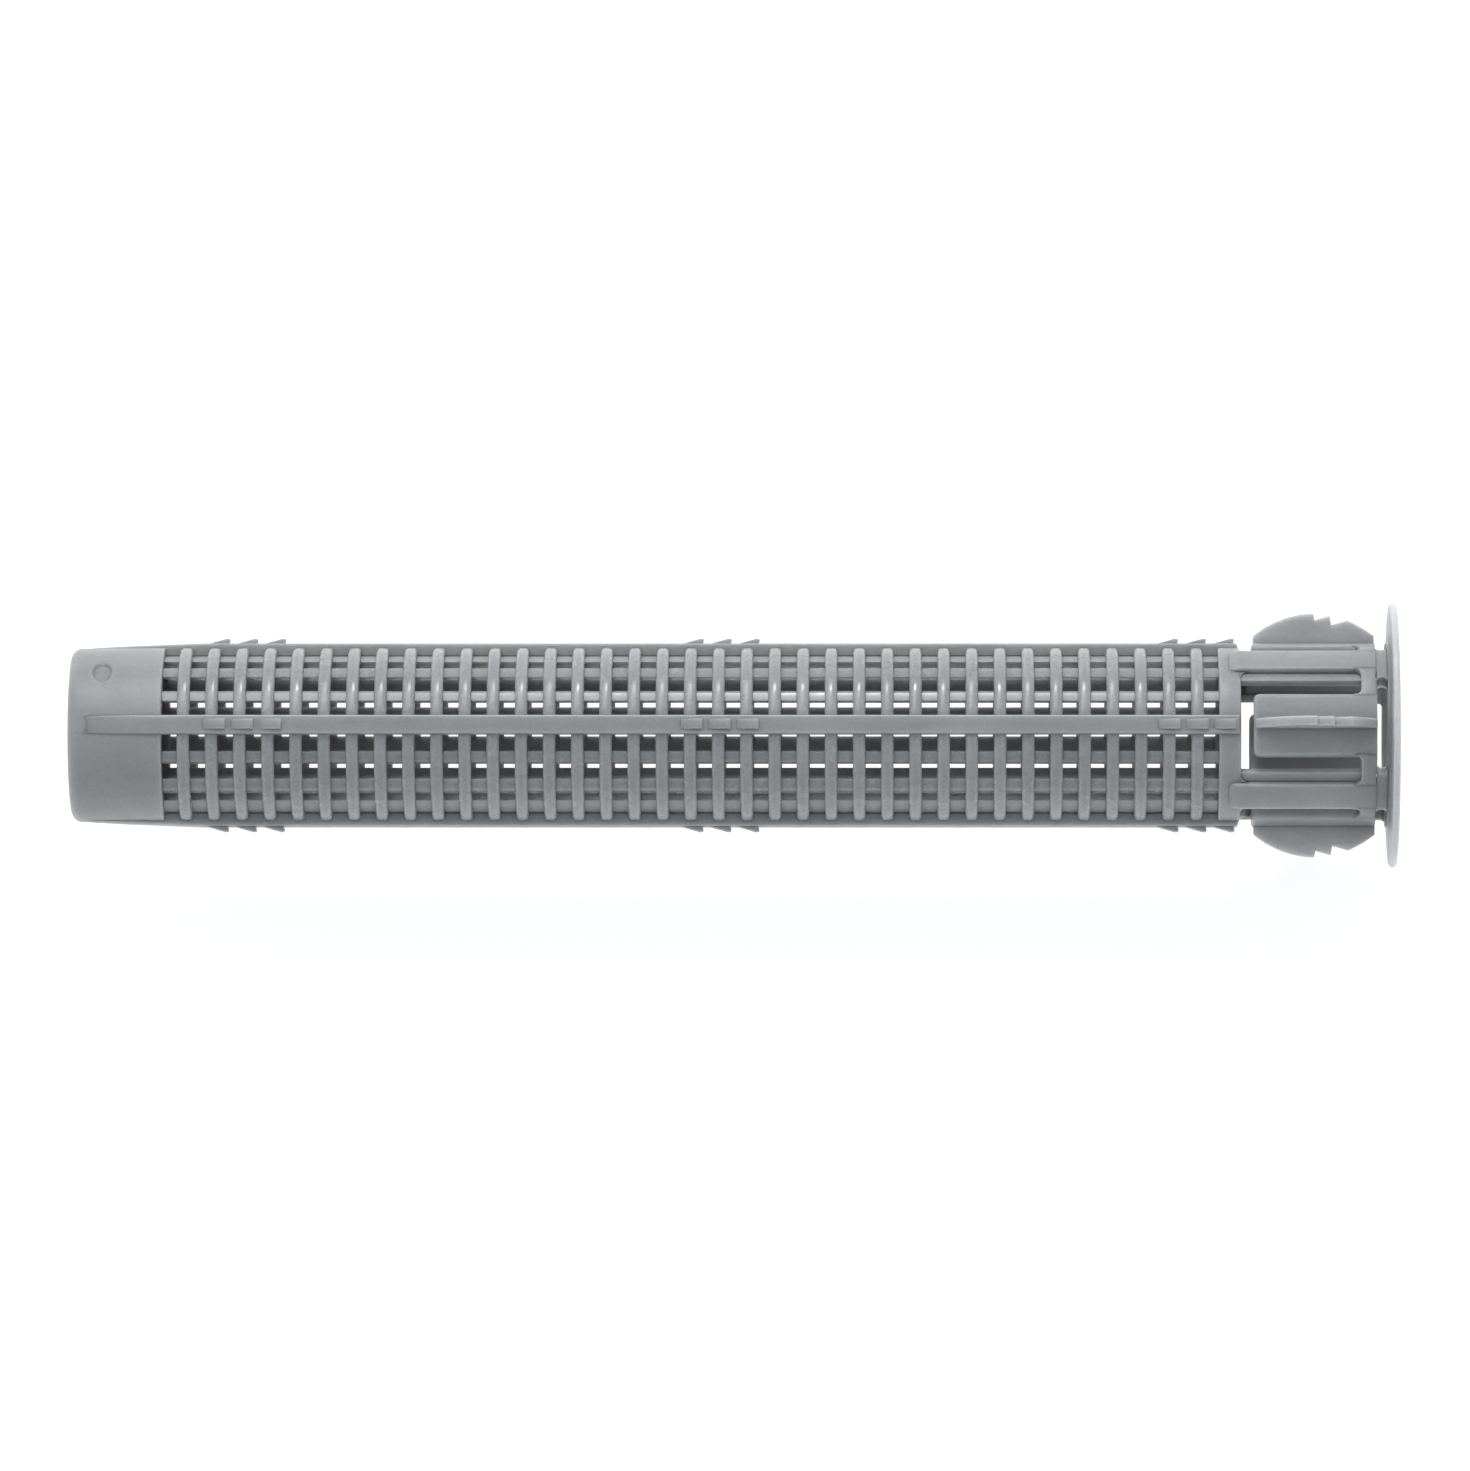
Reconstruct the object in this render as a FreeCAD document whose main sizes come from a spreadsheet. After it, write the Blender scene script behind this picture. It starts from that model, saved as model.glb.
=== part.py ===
import FreeCAD, Part
import math
import os
import re

import Sketcher

# Perforated anchor sleeve for injection mortar, moulded in one shot.
#
# Frame: +X runs along the sleeve from the closed tip to the collar, +Z is the way the mould opens.
# The origin is the centre of the collar's wall-side face, so x = station - reach, where a station
# is the distance from the tip. Each sub-part is drawn about the X axis in stations and radii, and
# its Placement carries it to its own angle and to the collar's origin.

DIMENSIONS = [
    # alias, value in mm (or degrees where the name says so), meaning
    ("reach", 85.0, "tip to the wall-side face of the collar"),
    ("bore_radius", 4.5, "clear bore inside the cup, the bars and the end ring"),
    ("bar_radius", 5.1, "outer face of the long bars, inner face of hoops and spines"),
    ("neck_radius", 4.9, "bore of the neck and of the collar"),
    ("mesh_radius", 5.65, "outer face of hoops, cup and end ring"),
    ("spine_radius", 5.93, "outer face of the four spines and of the neck"),
    ("cup_depth", 6.15, "length of the closed cup"),
    ("cup_floor", 1.2, "thickness of the cup's floor"),
    ("cup_corner", 0.65, "rounding round the cup's floor"),
    ("mark_radius", 0.65, "round mould mark on the cup"),
    ("mark_depth", 0.1, "depth of the mould mark"),
    ("mark_station", 2.3, "station of the mould mark"),
    ("mark_degrees", 40.0, "angle of the mould mark from +Z towards +Y"),
    ("hoop_pitch", 1.807, "pitch of the hoops"),
    ("hoop_width", 0.8, "width of one hoop"),
    ("hoop_count", 37, "number of hoops"),
    ("bar_width", 0.76, "width of a bar"),
    ("inner_bar_offset", 1.95, "centre of an inner bar from the XZ plane"),
    ("outer_bar_offset", 3.62, "centre of an outer bar from the XZ plane"),
    ("shoulder_offset", 4.5, "flat inner edge of the shoulder beside a side spine"),
    ("spine_width", 1.2, "width of a spine"),
    ("spine_start", 1.8, "station where a spine rises out of the cup"),
    ("spine_full", 8.6, "station where a spine reaches its full height"),
    ("spine_end", 75.3, "station where a spine ends on the end ring"),
    ("barb_height", 0.34, "height of a barb over its spine"),
    ("barb_run", 1.4, "length of a barb's ramp"),
    ("barb_undercut", 0.08, "how far a barb's rear face leans back"),
    ("barb_width", 0.6, "width of a barb"),
    ("barb_first", 10.3, "station of the first crest"),
    ("barb_pitch", 1.8, "pitch of the crests in a group"),
    ("barbs_in_group", 3, "crests in a group"),
    ("barb_group_pitch", 30.6, "pitch of the groups"),
    ("barb_groups", 3, "groups on a spine"),
    ("end_ring_start", 74.0, "station where the mesh ends"),
    ("end_ring_end", 75.4, "station where the neck's windows start"),
    ("strut_start", 74.6, "station where the struts grow out of the end ring"),
    ("strut_degrees", 21.0, "width of a strut"),
    ("strut_centre_degrees", 50.0, "centre of a strut from the Z axis"),
    ("ledge_degrees", 7.0, "width of the ledge along a strut's edge nearer the Z axis"),
    ("ledge_radius", 5.5, "outer face of the ledge"),
    ("tongue_start", 76.2, "free end of a tongue"),
    ("tongue_end", 84.1, "rear face of a tongue's root"),
    ("tongue_half_width", 2.0, "half the width of a tongue"),
    ("tongue_corner", 0.4, "rounding at a tongue's free end"),
    ("band_start", 83.1, "front face of the band that a tongue hangs from"),
    ("lip_start", 84.8, "front face of the lip behind the arc slots"),
    ("tall_slot_degrees", 64.0, "width of the arc slots at +Z and -Z"),
    ("side_slot_degrees", 59.0, "width of the arc slots at +Y and -Y"),
    ("fin_thickness", 0.6, "thickness of a fin"),
    ("fin_start", 76.3, "station of a fin's front edge"),
    ("fin_front_radius", 6.42, "top of the fin's front edge"),
    ("fin_first_crest", 80.2, "station of the highest crest"),
    ("fin_first_radius", 7.9, "radius of the highest crest"),
    ("fin_second_crest", 81.27, "station of the second crest"),
    ("fin_second_radius", 7.76, "radius of the second crest"),
    ("fin_third_crest", 82.4, "station of the third crest"),
    ("fin_third_radius", 7.45, "radius of the third crest"),
    ("fin_tooth_depth", 0.42, "drop behind the first crest"),
    ("fin_tooth_drop", 0.6, "drop behind the second crest"),
    ("fin_tooth_lean", 0.1, "run of a tooth's rear face"),
    ("fin_rear_radius", 6.44, "top of the fin's rear edge"),
    ("fin_front_arc", 6.2, "radius of the curve over the fin's front"),
    ("fin_rear_arc", 7.5, "radius of the curve over the fin's rear"),
    ("collar_radius", 8.5, "rim of the collar"),
    ("collar_thickness", 0.5, "thickness of the collar"),
    ("collar_rounding", 0.2, "rounding of the collar's rim"),
]

SIDES = {"top": 0, "left": -90, "bottom": 180, "right": 90}
QUARTERS = {"top_left": -45, "bottom_left": -135, "bottom_right": 135, "top_right": 45}
X_AXIS = FreeCAD.Vector(1, 0, 0)

doc = FreeCAD.newDocument("anchor_sleeve")
sheet = doc.addObject("Spreadsheet::Sheet", "Size")
for row, (alias, number, meaning) in enumerate(DIMENSIONS, start=1):
    sheet.set(f"A{row}", alias)
    sheet.set(f"B{row}", str(number))
    sheet.set(f"C{row}", meaning)
    sheet.setAlias(f"B{row}", alias)
doc.recompute()

ALIASES = {alias for alias, _, _ in DIMENSIONS}
nodes = []


def bound(text):
    """An expression in plain dimension names, with the sheet's name put before each of them."""
    return re.sub(r"[a-z_]+", lambda m: f"Size.{m[0]}" if m[0] in ALIASES else m[0], text)


def number(text):
    found = sheet.evalExpression(bound(text))
    return float(getattr(found, "Value", found))


def bind(thing, prop, text):
    thing.setExpression(prop, bound(text))


def place(thing, degrees=0, station="0"):
    """Turns a sub-part about X and moves it from stations to the collar's origin."""
    thing.Placement = FreeCAD.Placement(FreeCAD.Vector(), FreeCAD.Rotation(X_AXIS, degrees))
    bind(thing, "Placement.Base.x", f"{station} - reach")
    return thing


def node(thing, label):
    thing.Label = label
    nodes.append(thing)
    return thing


def origin_plane(body, role):
    return next(f for f in body.Origin.OriginFeatures if f.Role == role)


def outline(body, role, points):
    """A closed sketch through points (x, y), each given as two expressions. A third entry on a
    point is the radius of an arc to the next point, and it bulges to the left of the way there."""
    sketch = body.newObject("Sketcher::SketchObject", f"{body.Name}_outline")
    sketch.AttachmentSupport = (origin_plane(body, role), "")
    sketch.MapMode = "FlatFace"
    places = [FreeCAD.Vector(number(p[0]), number(p[1]), 0) for p in points]
    ends = []
    for i, point in enumerate(points):
        start, end = places[i], places[(i + 1) % len(places)]
        if len(point) == 2:
            edge = sketch.addGeometry(Part.LineSegment(start, end))
            ends.append((edge, 1, 2))
            continue
        chord = end - start
        half = chord.Length / 2
        radius = number(point[2])
        rise = radius - math.sqrt(radius**2 - half**2)
        left = FreeCAD.Vector(-chord.y, chord.x, 0).normalize()
        middle = (start + end) / 2 + left * rise
        edge = sketch.addGeometry(Part.Arc(start, middle, end))
        flipped = (sketch.getPoint(edge, 1) - start).Length > (sketch.getPoint(edge, 2) - start).Length
        ends.append((edge, 2, 1) if flipped else (edge, 1, 2))
        index = sketch.addConstraint(Sketcher.Constraint("Radius", edge, radius))
        sketch.setExpression(f"Constraints[{index}]", bound(point[2]))
    for i, (edge, first, _) in enumerate(ends):
        before, _, last = ends[i - 1]
        sketch.addConstraint(Sketcher.Constraint("Coincident", before, last, edge, first))
        for kind, axis, text in (("DistanceX", -2, points[i][0]), ("DistanceY", -1, points[i][1])):
            if abs(number(text)) < 1e-9:
                sketch.addConstraint(Sketcher.Constraint("PointOnObject", edge, first, axis))
                continue
            index = sketch.addConstraint(Sketcher.Constraint(kind, -1, 1, edge, first, number(text)))
            sketch.setExpression(f"Constraints[{index}]", bound(text))
    return sketch


def rectangle(x_low, x_high, y_low, y_high):
    return [(x_low, y_low), (x_high, y_low), (x_high, y_high), (x_low, y_high)]


def turned(name, points, degrees="360"):
    """A body turned about X from an outline of (station, radius), centred on +Z."""
    body = doc.addObject("PartDesign::Body", name)
    sketch = outline(body, "XZ_Plane", points)
    solid = body.newObject("PartDesign::Revolution", f"{name}_turned")
    solid.Profile = sketch
    solid.ReferenceAxis = (sketch, ["H_Axis"])
    solid.Midplane = True
    bind(solid, "Angle", degrees)
    body.Tip = solid
    return body


def raised(name, role, points, height, midplane=True):
    """A body padded from an outline on one of its origin planes."""
    body = doc.addObject("PartDesign::Body", name)
    sketch = outline(body, role, points)
    solid = body.newObject("PartDesign::Pad", f"{name}_raised")
    solid.Profile = sketch
    solid.Midplane = midplane
    bind(solid, "Length", height)
    body.Tip = solid
    return body


def repeated(body, pitch, count, whole=False):
    """Repeats the body's last feature along X, or the whole body as it stands."""
    feature = body.Tip
    pattern = body.newObject("PartDesign::LinearPattern", f"{feature.Name}_row")
    if whole:
        pattern.TransformMode = "Whole shape"
    else:
        pattern.Originals = [feature]
    pattern.Direction = (origin_axis(body), [""])
    pattern.Mode = "Spacing"
    bind(pattern, "Offset", pitch)
    bind(pattern, "Occurrences", count)
    body.Tip = pattern
    return pattern


def origin_axis(body):
    return next(f for f in body.Origin.OriginFeatures if f.Role == "X_Axis")


def slab(name, x_span, y_span, z_span):
    """A box between two expressions on each axis, in stations."""
    box = doc.addObject("Part::Box", name)
    for size, base, (low, high) in (
        ("Length", "x", x_span), ("Width", "y", y_span), ("Height", "z", z_span)
    ):
        bind(box, size, f"({high}) - ({low})")
        if base != "x":
            bind(box, f"Placement.Base.{base}", low)
    bind(box, "Placement.Base.x", f"{x_span[0]}")
    return box


def boolean(kind, name, base, tool):
    made = doc.addObject(f"Part::{kind}", name)
    made.Base, made.Tool = base, tool
    return made


def rounded(body, name, radius, chosen):
    """Rounds the edges of a body's tip that pass the test."""
    doc.recompute()
    tip = body.Tip
    edges = [f"Edge{i + 1}" for i, e in enumerate(tip.Shape.Edges) if chosen(e)]
    fillet = body.newObject("PartDesign::Fillet", name)
    fillet.Base = (tip, edges)
    bind(fillet, "Radius", radius)
    body.Tip = fillet
    return fillet


def circle_of(edge, radius, station=None):
    curve = edge.Curve
    return (
        isinstance(curve, Part.Circle)
        and abs(curve.Radius - radius) < 1e-6
        and (station is None or abs(curve.Center.x - station) < 1e-6)
    )


# ---- closed cup at the tip ----

cup_body = turned("cup_body", [
    ("0", "0"),
    ("0", "mesh_radius"),
    ("cup_depth", "mesh_radius"),
    ("cup_depth", "bore_radius"),
    ("cup_floor", "bore_radius"),
    ("cup_floor", "0"),
])
rounded(cup_body, "cup_rounding", "cup_corner", lambda e: circle_of(e, number("mesh_radius"), 0))
mark = doc.addObject("Part::Cylinder", "mould_mark")
bind(mark, "Radius", "mark_radius")
bind(mark, "Height", "mesh_radius")
mark.Placement.Rotation = FreeCAD.Rotation(X_AXIS, -number("mark_degrees"))
bind(mark, "Placement.Base.x", "mark_station")
bind(mark, "Placement.Base.y", "(mesh_radius - mark_depth) * sin(mark_degrees * 1deg)")
bind(mark, "Placement.Base.z", "(mesh_radius - mark_depth) * cos(mark_degrees * 1deg)")
node(place(boolean("Cut", "cup", cup_body, mark)), "tip_cup")

# ---- mesh: spines and hoops in the outer layer of the wall, bars in its inner layer ----

LENGTH = ("0", "reach")
UPWARD = ("0", "spine_radius * 2")
ACROSS = ("-spine_radius", "spine_radius")

mesh_tube = turned("mesh_tube", rectangle("cup_depth", "end_ring_start", "bore_radius", "bar_radius"))


def spine(side):
    """A rib that stands on the cup, runs along the outer layer of the mesh wall, and stands on the
    end ring. The side ones have a flat-edged bar under them, which shows as a shoulder on each edge."""
    rail = turned(f"rail_{side}", [
        ("spine_start", "mesh_radius"),
        ("spine_full", "spine_radius"),
        ("spine_end", "spine_radius"),
        ("spine_end", "mesh_radius"),
        ("end_ring_start", "mesh_radius"),
        ("end_ring_start", "bar_radius"),
        ("cup_depth", "bar_radius"),
        ("cup_depth", "mesh_radius"),
    ], "60")
    width = ("-spine_width / 2", "spine_width / 2")
    shape = boolean("Common", f"rib_{side}", rail, slab(f"rib_slab_{side}", LENGTH, width, UPWARD))
    if side in ("left", "right"):
        above = slab(f"shoulder_slab_{side}", LENGTH, ACROSS, ("shoulder_offset", "spine_radius"))
        shoulder = boolean("Common", f"shoulder_{side}", mesh_tube, above)
        shape = boolean("Fuse", f"shouldered_{side}", shape, shoulder)
    return node(place(shape, SIDES[side]), f"spine_{side}")


def bar(level, reach_out, side):
    """A straight bar under the hoops, with flat sides along the way the mould opens."""
    towards = "-" if (level == "bottom") == (side == "left") else ""
    middle = f"{towards}{reach_out}_bar_offset"
    name = f"{level}_{reach_out}_{side}"
    width = (f"{middle} - bar_width / 2", f"{middle} + bar_width / 2")
    box = slab(f"bar_slab_{name}", LENGTH, width, UPWARD)
    return node(place(boolean("Common", f"bar_{name}", mesh_tube, box), SIDES[level]), f"bar_{name}")


spines = doc.addObject("Part::Compound", "spines")
spines.Links = [spine(side) for side in SIDES]
for level in ("top", "bottom"):
    for reach_out in ("inner", "outer"):
        for side in ("left", "right"):
            bar(level, reach_out, side)


def hoops(quarter, degrees):
    """A quarter of every hoop. Each arc lies on the bars and ends on two spines."""
    first = rectangle("cup_depth + hoop_pitch - hoop_width", "cup_depth + hoop_pitch",
                      "bar_radius", "mesh_radius")
    body = turned(f"arcs_{quarter}", first, "90")
    repeated(body, "hoop_pitch", "hoop_count")
    place(body, degrees)
    return node(boolean("Cut", f"hoops_{quarter}", body, spines), f"hoops_{quarter}")


for quarter, degrees in QUARTERS.items():
    hoops(quarter, degrees)

# ---- barbs along the spines ----


def barbs(side):
    """Three groups of three teeth on a spine. Each ramps up towards the collar and ends in a steep
    rear face that leans back."""
    body = turned(f"teeth_{side}", [
        ("barb_first - barb_run", "spine_radius"),
        ("barb_first", "spine_radius + barb_height"),
        ("barb_first - barb_undercut", "spine_radius"),
    ], "2 * asin(barb_width / 2 / spine_radius)")
    repeated(body, "barb_pitch", "barbs_in_group")
    repeated(body, "barb_group_pitch", "barb_groups", whole=True)
    return node(place(body, SIDES[side]), f"barbs_{side}")


for side in SIDES:
    barbs(side)

# ---- neck: end ring, struts, root ring and collar ----

end_ring = turned("ring_body", rectangle("end_ring_start", "end_ring_end", "bore_radius", "mesh_radius"))
node(place(end_ring), "end_ring")


def strut(quarter, degrees, ledge_side):
    """One of the four posts that carry the collar. Its foot laps over the end ring, and a lower
    ledge narrows the long slot between it and the upper or lower tongue."""
    post = turned(f"post_{quarter}", [
        ("strut_start", "mesh_radius"),
        ("strut_start", "spine_radius"),
        ("tongue_end", "spine_radius"),
        ("tongue_end", "neck_radius"),
        ("end_ring_end", "neck_radius"),
        ("end_ring_end", "mesh_radius"),
    ], "strut_degrees")
    profile = rectangle("end_ring_end", "band_start", "neck_radius", "ledge_radius")
    ledge = turned(f"ledge_{quarter}", profile, "ledge_degrees")
    to_ledge = ledge_side * number("(strut_degrees + ledge_degrees) / 2")
    ledge.Placement.Rotation = FreeCAD.Rotation(X_AXIS, to_ledge)
    return node(place(boolean("Fuse", f"ledged_{quarter}", post, ledge), degrees), f"strut_{quarter}")


centre = number("strut_centre_degrees")
for quarter, degrees, ledge_side in (
    ("top_left", -centre, 1),
    ("bottom_left", centre - 180, -1),
    ("bottom_right", 180 - centre, 1),
    ("top_right", centre, -1),
):
    strut(quarter, degrees, ledge_side)

root_ring = turned("root_body", rectangle("tongue_end", "reach", "neck_radius", "spine_radius"))
for role, degrees in (("XZ_Plane", "tall_slot_degrees"), ("XY_Plane", "side_slot_degrees")):
    slot = rectangle("tongue_end", "lip_start", "bore_radius", "mesh_radius * 2")
    sketch = outline(root_ring, role, slot)
    groove = root_ring.newObject("PartDesign::Groove", f"arc_slot_{role[:2]}")
    groove.Profile = sketch
    groove.ReferenceAxis = (sketch, ["H_Axis"])
    groove.Midplane = True
    bind(groove, "Angle", degrees)
    root_ring.Tip = groove
    opposite = root_ring.newObject("PartDesign::PolarPattern", f"arc_slots_{role[:2]}")
    opposite.Originals = [groove]
    opposite.Axis = (origin_axis(root_ring), [""])
    opposite.Angle = 360
    opposite.Occurrences = 2
    root_ring.Tip = opposite
node(place(root_ring), "root_ring")

collar_end = "reach + collar_thickness"
collar = turned("collar_body", rectangle("reach", collar_end, "neck_radius", "collar_radius"))
rounded(collar, "collar_rim", "collar_rounding", lambda e: circle_of(e, number("collar_radius")))
node(place(collar), "collar")

# ---- spring tongues, their hinge bands and fins ----


def tongue(side):
    """A curved tongue, free at its front and held by its root. Its sides are flat, square to the
    line that it bends about."""
    profile = rectangle("tongue_start", "tongue_end", "neck_radius", "spine_radius")
    arch = turned(f"arch_{side}", profile, "60")
    plan = raised(f"plan_{side}", "XY_Plane", [
        ("tongue_end", "tongue_half_width"),
        ("tongue_end", "-tongue_half_width"),
        ("tongue_start + tongue_corner", "-tongue_half_width", "tongue_corner"),
        ("tongue_start", "tongue_corner - tongue_half_width"),
        ("tongue_start", "tongue_half_width - tongue_corner", "tongue_corner"),
        ("tongue_start + tongue_corner", "tongue_half_width"),
    ], "spine_radius * 2", midplane=False)
    return node(place(boolean("Common", f"leaf_{side}", arch, plan), SIDES[side]), f"tongue_{side}")


def fin(side, leaf):
    """A thin half-moon fin along the middle of a tongue, with three teeth that point at the collar."""
    body = raised(f"moon_{side}", "XZ_Plane", [
        ("fin_start", "neck_radius"),
        ("fin_start", "fin_front_radius", "fin_front_arc"),
        ("fin_first_crest", "fin_first_radius"),
        ("fin_first_crest + fin_tooth_lean", "fin_first_radius - fin_tooth_depth"),
        ("fin_second_crest", "fin_second_radius"),
        ("fin_second_crest + fin_tooth_lean", "fin_second_radius - fin_tooth_drop"),
        ("fin_third_crest", "fin_third_radius", "fin_rear_arc"),
        ("tongue_end", "fin_rear_radius"),
        ("tongue_end", "neck_radius"),
    ], "fin_thickness")
    place(body, SIDES[side])
    return node(boolean("Cut", f"teeth_on_{side}", body, leaf), f"fin_{side}")


def hinge_band(side, half_span):
    """The two short bands that tie a tongue's root to the struts beside it. They twist as it bends."""
    profile = rectangle("band_start", "tongue_end", "neck_radius", "spine_radius")
    ring = turned(f"band_{side}", profile, f"2 * ({half_span})")
    width = ("-tongue_half_width", "tongue_half_width")
    gap = slab(f"band_gap_{side}", LENGTH, width, UPWARD)
    return node(place(boolean("Cut", f"bands_{side}", ring, gap), SIDES[side]), f"hinge_band_{side}")


SPANS = {
    "top": "strut_centre_degrees - strut_degrees / 2",
    "bottom": "strut_centre_degrees - strut_degrees / 2",
    "left": "90 - strut_centre_degrees - strut_degrees / 2",
    "right": "90 - strut_centre_degrees - strut_degrees / 2",
}
for side, half_span in SPANS.items():
    fin(side, tongue(side))
    hinge_band(side, half_span)

# ---- check and write ----

doc.recompute()
for thing in doc.Objects:
    if {"Invalid", "Error"} & set(thing.State):
        raise RuntimeError(f"{thing.Label} failed: {thing.State}")
for thing in nodes:
    if thing.Shape.isNull() or not thing.Shape.isValid():
        raise RuntimeError(f"{thing.Label} has no valid shape")
os.makedirs("parts", exist_ok=True)
for thing in nodes:
    thing.Shape.exportStep(f"parts/{thing.Label}.step")
    print(f"{thing.Label}: {len(thing.Shape.Solids)} solids, {thing.Shape.Volume:.3f} mm3")
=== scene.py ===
import math

import bmesh
import bpy
from mathutils import Matrix, Vector


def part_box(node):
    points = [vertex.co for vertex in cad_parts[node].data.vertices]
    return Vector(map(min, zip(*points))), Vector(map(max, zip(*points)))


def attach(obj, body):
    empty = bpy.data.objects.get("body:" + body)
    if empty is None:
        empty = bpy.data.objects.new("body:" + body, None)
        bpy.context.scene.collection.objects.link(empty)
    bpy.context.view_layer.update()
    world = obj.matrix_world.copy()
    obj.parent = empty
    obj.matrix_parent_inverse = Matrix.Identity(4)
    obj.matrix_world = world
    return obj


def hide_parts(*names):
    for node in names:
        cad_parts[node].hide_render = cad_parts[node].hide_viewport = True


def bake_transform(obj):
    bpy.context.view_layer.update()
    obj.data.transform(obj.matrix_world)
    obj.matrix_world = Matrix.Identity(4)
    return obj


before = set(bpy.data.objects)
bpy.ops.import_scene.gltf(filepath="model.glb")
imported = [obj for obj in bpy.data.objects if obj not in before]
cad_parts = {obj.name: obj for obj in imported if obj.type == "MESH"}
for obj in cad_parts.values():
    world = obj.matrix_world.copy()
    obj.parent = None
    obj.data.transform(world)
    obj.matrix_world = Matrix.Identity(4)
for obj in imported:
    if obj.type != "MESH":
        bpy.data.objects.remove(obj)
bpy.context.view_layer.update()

# The looks of a perforated anchor sleeve, moulded in one shot from grey plastic. Every CAD node is
# replaced by a piece of the same size with the roundings, fillets and crowned faces of the moulding.
# Lengths are metres in the part's own frame: +X from the closed tip to the collar.

MM = 0.001

SIDES = {"top": 0, "left": -90, "bottom": 180, "right": 90}
QUARTERS = {"top_left": -45, "bottom_left": -135, "bottom_right": 135, "top_right": 45}

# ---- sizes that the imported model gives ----

TIP, CUP_END = (corner.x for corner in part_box("tip_cup"))
RING_START, RING_END = (corner.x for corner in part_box("end_ring"))
STRUT_START, ROOT_START = (corner.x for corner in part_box("strut_top_left"))
WALL_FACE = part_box("root_ring")[1].x
COLLAR_FACE, COLLAR_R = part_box("collar")[1].x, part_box("collar")[1].z
MESH_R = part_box("end_ring")[1].z
SPINE_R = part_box("root_ring")[1].z
BAND_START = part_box("hinge_band_top")[0].x
TONGUE_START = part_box("tongue_top")[0].x
TONGUE_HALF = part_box("tongue_top")[1].y
SPINE_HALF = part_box("spine_top")[1].y
SPINE_START, SPINE_END = (corner.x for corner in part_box("spine_top"))
HOOP_FIRST, HOOP_LAST = (corner.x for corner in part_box("hoops_top_left"))
BARB_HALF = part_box("barbs_top")[1].y
BARB_FIRST, BARB_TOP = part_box("barbs_top")[0].x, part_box("barbs_top")[1].z
FIN_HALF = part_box("fin_top")[1].y
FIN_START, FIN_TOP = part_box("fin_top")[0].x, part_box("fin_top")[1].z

# ---- sizes of the moulding that a box doesn't give ----

BORE_R = 4.5 * MM              # bore of the cup, the bars and the end ring
BAR_R = 5.1 * MM               # outer face of the bars, where hoops and spines lie on them
NECK_R = 4.9 * MM              # bore of the neck and the collar
HOOP_WIDTH = 0.8 * MM
HOOP_COUNT = 37
BAR_WIDTH = 0.76 * MM
SHOULDER = 4.5 * MM            # flat inner edge of the shoulder beside a side spine
BARB_RUN = 1.4 * MM
BARB_PITCH = 1.8 * MM
BARB_GROUP_PITCH = 30.6 * MM
STRUT_EDGES = (39.5, 60.5)     # degrees from the Z axis
LEDGE_EDGE = 32.5              # degrees from the Z axis
LEDGE_R = 5.5 * MM             # outer face of the ledge along a strut's edge
TALL_SLOT = 32.0               # degrees, half of the arc slots at +Z and -Z
SIDE_SLOT = 29.5               # degrees, half of the arc slots at +Y and -Y
LIP_START = WALL_FACE - 0.2 * MM
SOFT = 0.1 * MM                # rounding of the neck's edges
HAIR = 0.01 * MM               # keeps faces of the pieces that cross from lying in one plane
SINK = 0.2 * MM                # how far a piece is let into the one it grows out of
STRUT_LAP = 0.15 * MM          # the same for a strut's ledge and its gussets
WRAP_STEP = 0.2 * MM           # strips that a plate is cut into before it is curved
CREASE = 46                    # degrees, an edge that turns by more than this shows as an edge

GREY = (0.300, 0.302, 0.306)   # the plastic's colour


# ---- mesh helpers ----


def about_x(degrees):
    """A turn about X, from +Z towards -Y for a positive angle."""
    return Matrix.Rotation(math.radians(degrees), 3, "X")


def turn(points, degrees):
    """Points turned about X."""
    return [about_x(degrees) @ Vector(p) for p in points]


def turn_mesh(bm, degrees):
    """Turns a whole piece about X."""
    bmesh.ops.rotate(bm, verts=bm.verts, matrix=about_x(degrees))


def flip_sides(bm):
    """Mirrors a piece across the XZ plane."""
    for v in bm.verts:
        v.co.y = -v.co.y


def fillet(points, steps=5):
    """A closed outline whose corners (a, b, radius) are rounded. A corner may bend either way."""
    outline = []
    for i, (a, b, radius) in enumerate(points):
        corner = Vector((a, b))
        if radius <= 0:
            outline.append((a, b))
            continue
        before = (Vector(points[i - 1][:2]) - corner).normalized()
        after = (Vector(points[(i + 1) % len(points)][:2]) - corner).normalized()
        half = before.angle(after) / 2
        middle = corner + (before + after).normalized() * radius / math.sin(half)
        start = corner + before * radius / math.tan(half)
        sweep = (start - middle).angle_signed(corner + after * radius / math.tan(half) - middle)
        for k in range(steps + 1):
            arm = (start - middle).copy()
            arm.rotate(Matrix.Rotation(-sweep * k / steps, 2))
            outline.append(tuple(middle + arm))
    return outline


def arc(centre, radius, first, last, steps=6):
    """Points on an arc about (a, b), from one angle in degrees to another."""
    angles = [math.radians(first + (last - first) * k / steps) for k in range(steps + 1)]
    return [(centre[0] + radius * math.cos(t), centre[1] + radius * math.sin(t)) for t in angles]


def between(start, end, steps):
    """The points that part a line into equal steps, without its ends."""
    return [(start[0] + (end[0] - start[0]) * k / steps, start[1] + (end[1] - start[1]) * k / steps)
            for k in range(1, steps)]


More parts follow.
